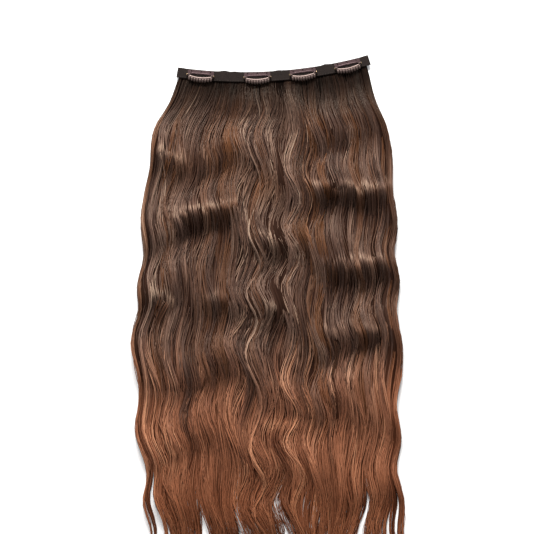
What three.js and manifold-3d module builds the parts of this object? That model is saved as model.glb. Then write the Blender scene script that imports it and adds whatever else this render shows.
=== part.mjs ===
// A clip-in hair extension: one weft of long wavy hair on a narrow sewn band with four snap clips, lying flat.
// Millimetres. +X runs along the band, +Y points past the band's top edge, the hair falls towards -Y and the
// clips face +Z. The origin is the middle of the band on the surface that the weft lies on.
import * as THREE from "three";
import { mergeVertices } from "three/addons/utils/BufferGeometryUtils.js";
import Module from "manifold-3d";

const wasm = await Module();
wasm.setup();

// Driving dimensions
const GAP = 0.3; // between pieces that touch or turn in each other

const BAND = {
  length: 222, // along its middle line
  height: 12, // across, from the top edge to the hair
  bendRadius: 520, // of the gentle curve that it lies in
  lowestAt: -35, // where along the band the curve is lowest
};

const TRACK = {
  thickness: 2.6, // of the sewn roots
  inset: 0.8, // of the track's edges behind the ribbon's
};

const RIBBON = { thickness: 1.1 };

const HAIR = {
  length: 548, // from the band's middle line to the longest tip
  spread: 292, // across the widest place
  depth: 9, // of the curtain between its waves
  tipDepth: 3, // of a lock at its end
  wave: 80, // from one crest to the next
  rise: 6, // of a crest above the depth
  sway: 7, // of a wave to the side
  fan: 95, // how far down the locks have spread to the full width
  fullness: 1.055, // of a lock's share of the width there, times its share of the band
  partFrom: 0.76, // of the hair's length, where the locks start towards their own tips
  swell: 60, // how far down the curtain has its full depth
  thinFrom: 0.7, // of a lock's length, where its depth starts to fall
};

const CLIP = {
  length: 32, // over the pin heads
  sheet: 0.5, // of the pressed steel
  barHeight: 4.6, // of the bar that is sewn to the band
  barBelowEdge: 1.2, // from the band's top edge to the bar
  ribHeight: 1.6, // of the rib along the bar
  ribRaise: 0.5, // of the rib above the sheet
  legWidth: 2.4, // of the frame's two ends
  railWidth: 1.5, // of the curved rail behind the teeth
  railDip: 5.2, // of the rail's middle below its ends
  holeRadius: 0.8,
  holeSpacing: 11,
  pinRadius: 0.45,
  pinHeadRadius: 1.25,
  pinHeadLength: 0.8,
  knuckleWall: 0.4,
  knuckleLength: 1.7,
  spineWidth: 2.3, // of the leaf's solid strip
  spineDip: 2.6, // of its middle below its ends
  bow: 0.9, // of the leaf's middle above its ends
  teeth: 9,
  toothPitch: 3.1,
  toothLength: 3.4,
  toothWidth: 2.3,
  toothTipWidth: 1.6,
};

// Each clip's place, as a share of the band's length from its middle.
const CLIPS = [
  { name: "clip_1", at: -0.378 },
  { name: "clip_2", at: -0.086 },
  { name: "clip_3", at: 0.15 },
  { name: "clip_4", at: 0.384 },
];

// The curtain's outline from above. down is a share of the hair's length, left and right are shares of its spread.
const OUTLINE = [
  { down: 0.0, left: -0.42, right: 0.41 },
  { down: 0.12, left: -0.465, right: 0.44 },
  { down: 0.25, left: -0.495, right: 0.46 },
  { down: 0.4, left: -0.5, right: 0.465 },
  { down: 0.55, left: -0.525, right: 0.47 },
  { down: 0.7, left: -0.51, right: 0.465 },
  { down: 0.85, left: -0.47, right: 0.455 },
  { down: 1.0, left: -0.44, right: 0.455 },
];

// The locks, from left to right. root is a share of the band's length and tip a share of the outline, both from the
// middle. end is a share of the hair's length, width one of its spread, crest one of a wave, and rise and sway are
// shares of the hair's own.
const LOCKS = [
  { root: -0.46, tip: -0.49, end: 0.98, width: 0.06, crest: 0.95, rise: 0.5, sway: -0.6 },
  { root: -0.42, tip: -0.41, end: 0.97, width: 0.115, crest: 0.28, rise: 0.6, sway: -0.5 },
  { root: -0.35, tip: -0.375, end: 0.99, width: 0.13, crest: 0.1, rise: 0.9, sway: 0.3 },
  { root: -0.28, tip: -0.32, end: 0.97, width: 0.13, crest: 0.0, rise: 1.1, sway: 0.3 },
  { root: -0.21, tip: -0.24, end: 0.985, width: 0.12, crest: 0.97, rise: 1.1, sway: 0.4 },
  { root: -0.14, tip: -0.17, end: 0.97, width: 0.11, crest: 0.7, rise: 0.8, sway: 0.7 },
  { root: -0.07, tip: -0.08, end: 0.98, width: 0.12, crest: 0.5, rise: 0.9, sway: 0.9 },
  { root: 0.0, tip: -0.015, end: 0.965, width: 0.11, crest: 0.29, rise: 1.2, sway: 0.4 },
  { root: 0.07, tip: 0.09, end: 0.98, width: 0.12, crest: 0.12, rise: 0.7, sway: 0.6 },
  { root: 0.14, tip: 0.145, end: 1.0, width: 0.12, crest: 0.3, rise: 0.8, sway: -0.4 },
  { root: 0.21, tip: 0.205, end: 0.98, width: 0.13, crest: 0.6, rise: 1.1, sway: -0.3 },
  { root: 0.28, tip: 0.265, end: 0.99, width: 0.13, crest: 0.62, rise: 1.1, sway: -0.3 },
  { root: 0.35, tip: 0.32, end: 0.97, width: 0.12, crest: 0.64, rise: 1.0, sway: -0.3 },
  { root: 0.41, tip: 0.41, end: 0.98, width: 0.1, crest: 0.75, rise: 0.6, sway: 0.5 },
  { root: 0.46, tip: 0.51, end: 0.99, width: 0.06, crest: 0.87, rise: 0.5, sway: 0.6 },
];

// A lock's width along it. down and share are shares of its length and of its full width.
const LOCK_TAPER = [
  { down: 0.0, share: 1.0 },
  { down: 0.75, share: 1.0 },
  { down: 0.95, share: 0.6 },
  { down: 1.0, share: 0.2 },
];

const RINGS_PER_WAVE = 4.3; // along a lock
const LOCK_SIDES = 4; // round its rounded top
const SINK = 1; // of a lock's foot into the surface before it is cut flat
const ROUND_SIDES = 10; // of a small round piece

// Heights that stack on one another, from the surface up
const ribbonFoot = TRACK.thickness + GAP;
const ribbonTop = ribbonFoot + RIBBON.thickness;
const clipFoot = ribbonTop + GAP;

// Small helpers
const mix = (a, b, t) => a + (b - a) * t;

function smooth(from, to, value) {
  const t = Math.min(1, Math.max(0, (value - from) / (to - from)));
  return t * t * (3 - 2 * t);
}

function solidOf(geometry) {
  const bare = geometry.clone();
  bare.deleteAttribute("normal");
  bare.deleteAttribute("uv");
  const merged = mergeVertices(bare, 1e-4);
  return new wasm.Manifold(
    new wasm.Mesh({
      numProp: 3,
      vertProperties: merged.attributes.position.array,
      triVerts: new Uint32Array(merged.index.array),
    }),
  );
}

function geometryOf(solid) {
  const { vertProperties, triVerts } = solid.getMesh();
  const geometry = new THREE.BufferGeometry();
  geometry.setAttribute("position", new THREE.BufferAttribute(vertProperties, 3));
  geometry.setIndex(new THREE.BufferAttribute(triVerts, 1));
  geometry.computeVertexNormals();
  return geometry;
}

function joined(geometries) {
  return geometries.map(solidOf).reduce((whole, piece) => whole.add(piece));
}

// A closed solid through rings of points. Each ring is a list of [x, y, z] that runs anticlockwise as it is seen
// from the last ring.
function lofted(rings) {
  const sides = rings[0].length;
  const corners = rings.flat();
  const faces = [];
  for (let i = 0; i + 1 < rings.length; i++) {
    for (let j = 0; j < sides; j++) {
      const a = i * sides + j;
      const b = i * sides + ((j + 1) % sides);
      faces.push(a, b, b + sides, a, b + sides, a + sides);
    }
  }
  const last = (rings.length - 1) * sides;
  for (let j = 1; j + 1 < sides; j++) {
    faces.push(0, j + 1, j, last, last + j, last + j + 1);
  }
  const geometry = new THREE.BufferGeometry();
  geometry.setAttribute("position", new THREE.Float32BufferAttribute(corners.flat(), 3));
  geometry.setIndex(faces);
  return geometry;
}

function boxBetween(low, high) {
  const size = high.map((value, i) => value - low[i]);
  return new THREE.BoxGeometry(...size).translate(...high.map((value, i) => (value + low[i]) / 2));
}

// A round bar along X from one place to another, at a height and depth across.
function barAlongX(from, to, y, z, radius) {
  return new THREE.CylinderGeometry(radius, radius, to - from, ROUND_SIDES)
    .rotateZ(Math.PI / 2)
    .translate((from + to) / 2, y, z);
}

// The band's curve. A place on it is how far along it is, and how far across towards the top edge.
const turnAt = (along) => (along - BAND.lowestAt) / BAND.bendRadius;
const curveCentre = {
  x: -BAND.bendRadius * Math.sin(turnAt(0)),
  y: BAND.bendRadius * Math.cos(turnAt(0)),
};

function onBand(along, across) {
  const reach = BAND.bendRadius - across;
  return {
    x: curveCentre.x + reach * Math.sin(turnAt(along)),
    y: curveCentre.y - reach * Math.cos(turnAt(along)),
  };
}

function bandStrip(inset, foot, thickness) {
  const half = BAND.height / 2 - inset;
  const start = turnAt(-BAND.length / 2 + inset) - Math.PI / 2;
  const end = turnAt(BAND.length / 2 - inset) - Math.PI / 2;
  const outline = new THREE.Shape();
  outline.absarc(curveCentre.x, curveCentre.y, BAND.bendRadius + half, start, end, false);
  outline.absarc(curveCentre.x, curveCentre.y, BAND.bendRadius - half, end, start, true);
  const settings = { depth: thickness, bevelEnabled: false, curveSegments: 8 };
  return new THREE.ExtrudeGeometry(outline, settings).translate(0, 0, foot);
}

// What a table's column says at a share of the way down.
function columnAt(table, column, down) {
  const next = Math.max(1, table.findIndex((row) => row.down >= Math.min(1, down)));
  const [a, b] = [table[next - 1], table[next]];
  return mix(a[column], b[column], smooth(a.down, b.down, down));
}

// Where a lock's middle line is after a way down it, in plan.
function lockMiddle(lock, way) {
  const root = onBand(lock.root * BAND.length, 0);
  const down = way / HAIR.length;
  const spreadOut = 1 - (1 - Math.min(1, way / HAIR.fan)) ** 2;
  const left = columnAt(OUTLINE, "left", down);
  const right = columnAt(OUTLINE, "right", down);
  const parted = smooth(HAIR.partFrom * HAIR.length, HAIR.length, way);
  const share = mix(lock.root * HAIR.fullness, lock.tip, parted);
  const fanned = mix(left, right, share + 0.5) * HAIR.spread;
  const sway = lock.sway * HAIR.sway * spreadOut * Math.sin(wavePhase(lock, way));
  return { x: mix(root.x, fanned, spreadOut) + sway, y: mix(root.y, 0, spreadOut) - way };
}

function wavePhase(lock, way) {
  return 2 * Math.PI * (way / HAIR.wave - lock.crest);
}

// How high a lock stands. It is no higher than the track until it is clear of the clips' teeth.
function lockHeight(lock, way, end) {
  const clear = teethReach + GAP;
  const swelled = smooth(clear, clear + HAIR.swell, way);
  const thinned = smooth(HAIR.thinFrom * end, end, way);
  const wave = lock.rise * HAIR.rise * Math.cos(wavePhase(lock, way)) * swelled * (1 - thinned / 2);
  const body = mix(TRACK.thickness, HAIR.depth, swelled);
  return Math.max(TRACK.thickness, mix(body, HAIR.tipDepth, thinned) + wave);
}

function lockGeometry(lock) {
  const end = lock.end * HAIR.length;
  const half = (lock.width * HAIR.spread) / 2;
  const steps = Math.round((RINGS_PER_WAVE * end) / HAIR.wave);
  const rings = [];
  for (let i = 0; i <= steps; i++) {
    const way = (i / steps) * end;
    const here = lockMiddle(lock, way);
    const ahead = lockMiddle(lock, way + 1);
    const run = Math.hypot(ahead.x - here.x, ahead.y - here.y);
    const side = { x: -(ahead.y - here.y) / run, y: (ahead.x - here.x) / run };
    const halfHere = half * columnAt(LOCK_TAPER, "share", way / end);
    const height = lockHeight(lock, way, end) + SINK;
    const ring = [];
    for (let j = 0; j <= LOCK_SIDES; j++) {
      const turn = (Math.PI * j) / LOCK_SIDES;
      const out = halfHere * Math.cos(turn);
      ring.push([here.x + side.x * out, here.y + side.y * out, height * Math.sin(turn) - SINK]);
    }
    rings.push(ring);
  }
  return lofted(rings);
}

// How far down the hair the clips' teeth reach, from the band's middle line.
const barTop = BAND.height / 2 - CLIP.barBelowEdge;
const barFoot = barTop - CLIP.barHeight;
const pivotY = barFoot - CLIP.pinHeadRadius - GAP;
const knuckleRadius = CLIP.pinRadius + GAP + CLIP.knuckleWall;
const pivotZ = CLIP.sheet + GAP + knuckleRadius;
const toothTipY = pivotY - CLIP.spineDip - CLIP.spineWidth - CLIP.toothLength;
const teethReach = -toothTipY;

function hairWeft() {
  const track = bandStrip(TRACK.inset, -SINK, TRACK.thickness + SINK);
  const whole = joined([track, ...LOCKS.map(lockGeometry)]);
  const wide = HAIR.spread + BAND.length;
  const long = HAIR.length + BAND.length;
  const below = boxBetween([-wide, -long, -2 * SINK - GAP], [wide, long, 0]);
  return geometryOf(whole.subtract(solidOf(below)));
}

// The clip's own frame: X along it, Y towards the band's top edge from the band's middle line, Z up from its foot.
const earOuter = CLIP.length / 2 - CLIP.pinHeadLength - GAP;
const earInner = earOuter - CLIP.sheet;
const knuckleOuter = earInner - GAP;
const knuckleInner = knuckleOuter - CLIP.knuckleLength;

function clipBase() {
  const half = earOuter;
  const corner = CLIP.barHeight / 3;
  const legFoot = pivotY - CLIP.pinHeadRadius;
  const outline = new THREE.Shape();
  outline.moveTo(-half, legFoot);
  outline.quadraticCurveTo(0, legFoot - 2 * CLIP.railDip, half, legFoot);
  outline.lineTo(half, barTop - corner);
  outline.quadraticCurveTo(half, barTop, half - corner, barTop);
  outline.lineTo(corner - half, barTop);
  outline.quadraticCurveTo(-half, barTop, -half, barTop - corner);
  outline.closePath();
  const inner = half - CLIP.legWidth;
  const window = new THREE.Path();
  window.moveTo(-inner, barFoot);
  window.lineTo(inner, barFoot);
  window.lineTo(inner, legFoot);
  window.quadraticCurveTo(0, legFoot - 2 * (CLIP.railDip - CLIP.railWidth), -inner, legFoot);
  window.closePath();
  outline.holes.push(window);
  for (const x of [-CLIP.holeSpacing, 0, CLIP.holeSpacing]) {
    const hole = new THREE.Path();
    const y = barTop - CLIP.holeRadius - CLIP.sheet;
    hole.absarc(x, y, CLIP.holeRadius, 0, 2 * Math.PI, true);
    outline.holes.push(hole);
  }
  const settings = { depth: CLIP.sheet, bevelEnabled: false, curveSegments: 6 };
  const frame = new THREE.ExtrudeGeometry(outline, settings);
  const ribHalf = inner - CLIP.ribRaise;
  const ribFoot = barFoot + CLIP.ribRaise / 2;
  const ribLow = [-ribHalf, ribFoot, CLIP.sheet / 2];
  const ribHigh = [ribHalf, ribFoot + CLIP.ribHeight, CLIP.sheet + CLIP.ribRaise];
  let base = joined([frame, boxBetween(ribLow, ribHigh)]);
  for (const way of [-1, 1]) {
    base = base.add(clipEar(way));
  }
  return geometryOf(base);
}

// The upright ear at one end of a clip's frame, with a hole for the pin.
function clipEar(way) {
  const width = CLIP.pinHeadRadius;
  const plate = new THREE.Shape();
  plate.moveTo(-width, CLIP.sheet / 2);
  plate.lineTo(width, CLIP.sheet / 2);
  plate.lineTo(width, pivotZ);
  plate.absarc(0, pivotZ, width, 0, Math.PI, false);
  plate.closePath();
  const hole = new THREE.Path();
  hole.absarc(0, pivotZ, CLIP.pinRadius + GAP, 0, 2 * Math.PI, true);
  plate.holes.push(hole);
  const settings = { depth: CLIP.sheet, bevelEnabled: false, curveSegments: 4 };
  const ear = new THREE.ExtrudeGeometry(plate, settings);
  ear.rotateX(Math.PI / 2).rotateZ(Math.PI / 2);
  ear.translate(way > 0 ? earInner : -earOuter, pivotY, 0);
  return solidOf(ear);
}

// How far a place on the leaf is below the clip's ends, and above them, by its place along X.
const leafShare = (x) => 1 - (x / knuckleOuter) ** 2;

function clipComb() {
  const spine = [];
  const steps = 8;
  for (let i = 0; i <= steps; i++) {
    const x = mix(-knuckleOuter, knuckleOuter, i / steps);
    const top = pivotY - CLIP.spineDip * leafShare(x);
    const low = top - CLIP.spineWidth;
    const z = pivotZ - CLIP.sheet / 2 + CLIP.bow * leafShare(x);
    spine.push([
      [x, top, z],
      [x, top, z + CLIP.sheet],
      [x, low, z + CLIP.sheet],
      [x, low, z],
    ]);
  }
  let comb = solidOf(lofted(spine));
  for (let i = 0; i < CLIP.teeth; i++) {
    comb = comb.add(solidOf(combTooth((i - (CLIP.teeth - 1) / 2) * CLIP.toothPitch)));
  }
  for (const way of [-1, 1]) {
    const middle = (way * (knuckleOuter + knuckleInner)) / 2;
    const [from, to] = [middle - CLIP.knuckleLength / 2, middle + CLIP.knuckleLength / 2];
    const bore = barAlongX(from - GAP, to + GAP, pivotY, pivotZ, CLIP.pinRadius + GAP);
    comb = comb.add(solidOf(barAlongX(from, to, pivotY, pivotZ, knuckleRadius)));
    comb = comb.subtract(solidOf(bore));
  }
  return geometryOf(comb);
}

// One tooth at a place along the leaf. It leaves the spine level and curls down beyond the rail.
function combTooth(x) {
  const root = pivotY - CLIP.spineDip * leafShare(x) - CLIP.spineWidth;
  const rootZ = pivotZ - CLIP.sheet / 2 + CLIP.bow * leafShare(x);
  const drop = rootZ - GAP;
  const rows = [
    { out: -0.2, fall: 0 },
    { out: 0.6, fall: 0.15 },
    { out: 1, fall: 1 },
  ];
  const rings = rows.map(({ out, fall }) => {
    const half = mix(CLIP.toothWidth, CLIP.toothTipWidth, Math.max(0, out)) / 2;
    const y = root - out * CLIP.toothLength;
    const z = rootZ - fall * drop;
    const lean = CLIP.sheet * fall;
    return [
      [x - half, y + lean, z],
      [x + half, y + lean, z],
      [x + half, y, z + CLIP.sheet],
      [x - half, y, z + CLIP.sheet],
    ];
  });
  return lofted(rings);
}

// The headed pin at one end of a clip.
function clipPin(way) {
  const shankEnd = knuckleInner;
  const shank = [shankEnd, earOuter + GAP + CLIP.pinHeadLength / 2];
  const head = [earOuter + GAP, earOuter + GAP + CLIP.pinHeadLength];
  const dome = head[0] + CLIP.pinHeadLength / 2;
  const pieces = [
    barAlongX(...shank, pivotY, pivotZ, CLIP.pinRadius),
    barAlongX(head[0], dome, pivotY, pivotZ, CLIP.pinHeadRadius),
    new THREE.CylinderGeometry(CLIP.pinHeadRadius, CLIP.pinRadius, CLIP.pinHeadLength / 2, ROUND_SIDES)
      .rotateZ(Math.PI / 2)
      .translate((dome + head[1]) / 2, pivotY, pivotZ),
  ];
  const pin = geometryOf(joined(pieces));
  return way > 0 ? pin : pin.rotateY(Math.PI).translate(0, 0, 2 * pivotZ);
}

// Materials
const hairMaterial = new THREE.MeshStandardMaterial({ color: 0x5e4335, roughness: 0.5, metalness: 0 });
const ribbonMaterial = new THREE.MeshStandardMaterial({ color: 0x392f2b, roughness: 0.85, metalness: 0 });
const steelMaterial = new THREE.MeshStandardMaterial({ color: 0x7b6563, roughness: 0.35, metalness: 0.8 });
const pinMaterial = new THREE.MeshStandardMaterial({ color: 0xb9a794, roughness: 0.25, metalness: 0.9 });

function piece(name, geometry, material) {
  const mesh = new THREE.Mesh(geometry, material);
  mesh.name = name;
  return mesh;
}

function snapClip({ name, at }) {
  const along = at * BAND.length;
  const middle = onBand(along, 0);
  const clip = new THREE.Group();
  clip.add(
    piece(`${name}_base`, clipBase(), steelMaterial),
    piece(`${name}_comb`, clipComb(), steelMaterial),
    piece(`${name}_pin_left`, clipPin(-1), pinMaterial),
    piece(`${name}_pin_right`, clipPin(1), pinMaterial),
  );
  clip.position.set(middle.x, middle.y, clipFoot);
  clip.rotation.z = turnAt(along);
  return clip;
}

const weft = new THREE.Group();
weft.add(
  piece("hair_weft", hairWeft(), hairMaterial),
  piece("band_ribbon", bandStrip(0, ribbonFoot, RIBBON.thickness), ribbonMaterial),
  ...CLIPS.map(snapClip),
);

export default weft;
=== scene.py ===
"""One weft of long wavy hair on a sewn band with four snap clips, lying on a pale floor."""
import math

import bpy
import numpy as np
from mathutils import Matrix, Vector


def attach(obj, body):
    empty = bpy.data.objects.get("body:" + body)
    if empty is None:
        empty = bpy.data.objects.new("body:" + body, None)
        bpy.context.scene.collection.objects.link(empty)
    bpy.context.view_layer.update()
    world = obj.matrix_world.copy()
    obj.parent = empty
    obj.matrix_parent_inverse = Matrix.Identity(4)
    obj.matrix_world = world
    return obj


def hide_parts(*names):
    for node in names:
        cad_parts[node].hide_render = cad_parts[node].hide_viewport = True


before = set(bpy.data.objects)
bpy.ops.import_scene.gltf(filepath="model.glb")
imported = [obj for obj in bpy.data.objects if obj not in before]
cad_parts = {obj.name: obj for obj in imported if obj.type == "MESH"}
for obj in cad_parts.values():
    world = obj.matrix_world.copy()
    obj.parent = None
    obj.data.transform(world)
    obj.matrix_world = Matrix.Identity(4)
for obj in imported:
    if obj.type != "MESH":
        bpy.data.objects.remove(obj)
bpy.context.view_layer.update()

# Sizes in millimetres, in the model's own frame
MM = 0.001
GAP = 0.3
BAND_LENGTH = 222.0
BAND_HEIGHT = 12.0
BEND_RADIUS = 520.0
LOWEST_AT = -35.0
TRACK_TOP = 2.6
RIBBON_FOOT = 2.9
RIBBON_THICKNESS = 1.1
CLIP_FOOT = 4.3
HAIR_LENGTH = 548.0
HAIR_SPREAD = 292.0
HAIR_DEPTH = 9.0
TIP_DEPTH = 3.0
WAVE = 80.0
WAVE_DROP = 0.38
WAVE_DRIFT = 0.13
DRIFT_LENGTH = 230.0
FAN = 95.0
RISE = 6.0
ROOT_STRAIGHT = 10.0
SWELL = 60.0
PART_FROM = 0.76
FULLNESS = 1.055
ROOT_SHARE = 0.07

CLIP_PLACES = {"clip_1": -0.378, "clip_2": -0.086, "clip_3": 0.15, "clip_4": 0.384}


def named_rows(columns, *rows):
    """A table whose rows give their values by column name."""
    return [dict(zip(columns, row)) for row in rows]


# The curtain's outline from above. down is a share of the hair's length, left and right are shares of its
# spread.
OUTLINE = named_rows(
    ("down", "left", "right"),
    (0.0, -0.42, 0.41),
    (0.12, -0.465, 0.44),
    (0.25, -0.495, 0.46),
    (0.4, -0.5, 0.465),
    (0.55, -0.525, 0.47),
    (0.7, -0.51, 0.465),
    (0.85, -0.47, 0.455),
    (1.0, -0.44, 0.455),
)

# The gentle waves, across the curtain. crest is where in a wave the high place comes, rise a share of the
# full rise, sway how far the hair swings aside, in millimetres, and tone how much lighter the brown is in the
# curtain's upper part, with painted shade where it is darker on the right.
PANELS = named_rows(
    ("across", "crest", "rise", "sway", "tone"),
    (-0.5, 0.2, 0.7, 2.6, 0.0),
    (-0.38, 0.1, 0.78, 3.4, 0.0),
    (-0.16, 0.08, 0.78, 3.0, 0.0),
    (-0.08, 0.2, 0.46, 5.5, 0.08),
    (0.02, 0.33, 0.78, 5.0, 0.1),
    (0.1, 0.5, 0.46, 5.5, 0.0),
    (0.17, 0.66, 0.85, 3.6, -0.1),
    (0.42, 0.68, 0.85, 3.2, -0.07),
    (0.5, 0.9, 0.62, 2.6, 0.0),
)

# The strong folds. across and half are shares of the curtain's width, down a share of its length and rise a
# share of the full rise. A crest line sags by bow and runs down to the right by slant, in millimetres.
FOLDS = named_rows(
    ("across", "half", "down", "rise", "bow", "slant"),
    (-0.4, 0.06, 0.18, 0.8, 3.0, 5.0),
    (-0.24, 0.12, 0.297, 1.25, -4.0, -7.0),
    (-0.195, 0.036, 0.469, 0.8, 2.0, 0.0),
    (-0.395, 0.04, 0.47, 0.9, 3.0, 4.0),
    (0.005, 0.055, 0.343, 1.0, 3.0, -3.0),
    (0.025, 0.05, 0.489, 0.9, 4.0, 3.0),
    (0.03, 0.065, 0.722, 0.8, 4.0, 0.0),
    (0.31, 0.16, 0.236, 1.35, 8.0, 2.0),
    (0.32, 0.12, 0.396, 1.0, 4.0, -5.0),
    (0.24, 0.04, 0.54, 0.6, 2.0, 0.0),
    (0.35, 0.05, 0.533, 0.7, 3.0, 2.0),
)
FOLD_CLIMB = 60.0
FOLD_BROW = 21.0
FOLD_DROP = 22.0
FOLD_SETTLE = 34.0
# The width and strength of the painted highlight on a fold's brow, and the strength of the painted shade
# under it
BROW_WIDTH = 4.5
BROW_SHINE = 0.42
UNDER_SHADE = 0.45

# The clumps that the hair parts into at its ends. from and to are shares of the band at the roots, left and
# right shares of the curtain's width at the tips, and end a share of the hair's length.
CLUMPS = named_rows(
    ("from", "to", "left", "right", "end"),
    (-0.48, -0.455, -0.51, -0.492, 0.99),
    (-0.455, -0.285, -0.438, -0.308, 0.995),
    (-0.285, -0.125, -0.257, -0.154, 1.0),
    (-0.125, 0.035, -0.095, -0.001, 0.99),
    (0.035, 0.36, 0.072, 0.332, 1.005),
    (0.36, 0.44, 0.383, 0.443, 0.995),
    (0.44, 0.48, 0.477, 0.537, 1.0),
)

# The warm patches, in shares of the curtain's width and length.
GOLDEN = named_rows(
    ("across", "down", "half", "long", "warmth"),
    (-0.03, 0.24, 0.05, 0.035, 0.4),
    (-0.17, 0.15, 0.05, 0.05, 0.25),
    (0.13, 0.33, 0.03, 0.03, 0.35),
    (-0.36, 0.2, 0.05, 0.03, 0.3),
)

# How many locks, strands and stations there are, and where the hair starts and how it may lie
LOCK_COUNT = 124
STRANDS_IN_LOCK = 19
STATIONS = 60
CORE_COUNT = 64
STRAND_PIECES = 6
ROOT_SPAN = 0.475
ROOT_LIMIT = 0.478
BAND_LIMIT = 0.497
CORE_ROOT_LIMIT = 0.462
CORE_REACH = 0.96
CORE_HALF_WIDTH = 3.6
START_ABOVE = 3.0
LOWEST_STRAND = 0.45
STRAND_FLATNESS = 0.6
TWIST_LENGTH = 260.0
LOOSE_SHARE = 0.04
LOOSE_SIZE = 1.6
LIGHT_SHARE = 0.12
LIGHT_BY = 0.18

# Where the hair turns copper, and where the painted shadow at its roots and its tips starts and ends, from
# one share of its length to another
COPPER = (0.54, 0.8)
ROOT_SHADOW = (0.015, 0.14)
TIP_SHADOW = (0.78, 0.88)

# What differs from lock to lock and from strand to strand: the least and the most. Sizes are in millimetres.
LOCK_RANGES = {
    "half_width": (4.5, 8.5),
    "half_height": (1.7, 3.2),
    "sway_share": (0.6, 1.4),
    "meander": (0.5, 3.5),
    "meander_length": (150.0, 320.0),
    "patch_length": (60.0, 160.0),
    "end_share": (0.97, 1.03),
}
STRAND_RANGES = {
    "end_share": (0.95, 1.0),
    "fine_size": (0.1, 0.6),
    "fine_length": (38.0, 90.0),
    "radius": (0.3, 0.52),
}

# How widely the locks scatter about their plan
LOCK_SCATTER = {
    "root": 0.004,
    "own_shift": 0.06,
    "lift": 0.6,
    "fold_jitter": 2.2,
    "wave_shift": 0.05,
    "own_dip": 0.022,
    "tip": 0.006,
}

random = np.random.default_rng(11)


# Small helpers
def smooth(low, high, value):
    t = np.clip((value - low) / (high - low), 0.0, 1.0)
    return t * t * (3.0 - 2.0 * t)


def column_at(table, key, column, place):
    """What a table's column says at a place, eased from row to row."""
    keys = np.array([row[key] for row in table])
    values = np.array([row[column] for row in table])
    after = np.clip(np.searchsorted(keys, place), 1, len(keys) - 1)
    share = smooth(keys[after - 1], keys[after], place)
    return values[after - 1] + (values[after] - values[after - 1]) * share


def linear(red, green, blue):
    """A colour as the shader wants it, from the usual 0 to 255."""
    def one(value):
        value /= 255.0
        return value / 12.92 if value <= 0.04045 else ((value + 0.055) / 1.055) ** 2.4
    return (one(red), one(green), one(blue), 1.0)


def turn_at(along):
    return (along - LOWEST_AT) / BEND_RADIUS


CURVE_X = -BEND_RADIUS * math.sin(turn_at(0.0))
CURVE_Y = BEND_RADIUS * math.cos(turn_at(0.0))


def on_band(along, across):
    """The place in plan of a point on the band, from how far along and how far across it is."""
    reach = BEND_RADIUS - across
    turn = turn_at(along)
    return CURVE_X + reach * np.sin(turn), CURVE_Y - reach * np.cos(turn)


def mesh_from(name, vertices, faces):
    mesh = bpy.data.meshes.new(name)
    mesh.from_pydata([tuple(v * MM for v in p) for p in vertices], [], faces)
    mesh.validate()
    mesh.update()
    mesh.shade_smooth()
    return mesh


def add_object(name, mesh, material, body="weft"):
    piece = bpy.data.objects.new(name, mesh)
    bpy.context.scene.collection.objects.link(piece)
    mesh.materials.append(material)
    if body:
        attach(piece, body)
    return piece


# Materials
def new_material(name):
    material = bpy.data.materials.new(name)
    material.use_nodes = True
    nodes = material.node_tree.nodes
    return material, nodes, material.node_tree.links, nodes["Principled BSDF"]


def ramp_node(nodes, stops):
    node = nodes.new("ShaderNodeValToRGB")
    elements = node.color_ramp.elements
    while len(elements) < len(stops):
        elements.new(0.5)
    for element, (position, colour) in zip(elements, stops):
        element.position = position
        element.color = colour
    return node


def attribute_value(nodes, name):
    node = nodes.new("ShaderNodeAttribute")
    node.attribute_name = name
    return node.outputs["Fac"]


def uv_coordinates(nodes, name):
    node = nodes.new("ShaderNodeUVMap")
    node.uv_map = name
    return node.outputs["UV"]


def math_node(nodes, links, operation, first, second=None, third=None):
    node = nodes.new("ShaderNodeMath")
    node.operation = operation
    for socket, value in zip(node.inputs, (first, second, third)):
        if value is None:
            continue
        if isinstance(value, (int, float)):
            socket.default_value = value
        else:
            links.new(value, socket)
    return node.outputs[0]


def mix_colour(nodes, links, factor, first, second, blend="MIX"):
    node = nodes.new("ShaderNodeMix")
    node.data_type = "RGBA"
    node.blend_type = blend
    for socket, value in ((node.inputs[0], factor), (node.inputs[6], first), (node.inputs[7], second)):
        if isinstance(value, (int, float, tuple)):
            socket.default_value = value
        else:
            links.new(value, socket)
    return node.outputs[2]


def noise_node(nodes, links, vector, scale, detail=3.0):
    node = nodes.new("ShaderNodeTexNoise")
    node.inputs["Scale"].default_value = scale
    node.inputs["Detail"].default_value = detail
    links.new(vector, node.inputs["Vector"])
    return node.outputs["Fac"]


def wave_node(nodes, links, vector, direction, scale, distortion):
    node = nodes.new("ShaderNodeTexWave")
    node.wave_type = "BANDS"
    node.bands_direction = direction
    node.inputs["Scale"].default_value = scale
    node.inputs["Distortion"].default_value = distortion
    links.new(vector, node.inputs["Vector"])
    return node.outputs["Fac"]


def add_bump(nodes, links, shader, height, strength, distance):
    node = nodes.new("ShaderNodeBump")
    node.inputs["Strength"].default_value = strength
    node.inputs["Distance"].default_value = distance
    links.new(height, node.inputs["Height"])
    links.new(node.outputs["Normal"], shader.inputs["Normal"])


def share_between(nodes, links, value, low, high, interpolation="SMOOTHSTEP"):
    """How far a value is from a low one to a high one, from 0 to 1."""
    node = nodes.new("ShaderNodeMapRange")
    node.interpolation_type = interpolation
    node.inputs["From Min"].default_value = low
    node.inputs["From Max"].default_value = high
    links.new(value, node.inputs["Value"])
    return node.outputs[0]


def scaled_coordinates(nodes, links, source, scale):
    node = nodes.new("ShaderNodeMapping")
    node.inputs["Scale"].default_value = scale
    links.new(source, node.inputs["Vector"])
    return node.outputs["Vector"]


# How dark and how light the fine streaks in a kind of hair are
STREAKS = {"strong": (0.35, 1.2), "fine": (0.7, 1.15)}

WHITE = (1.0, 1.0, 1.0, 1.0)


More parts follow.
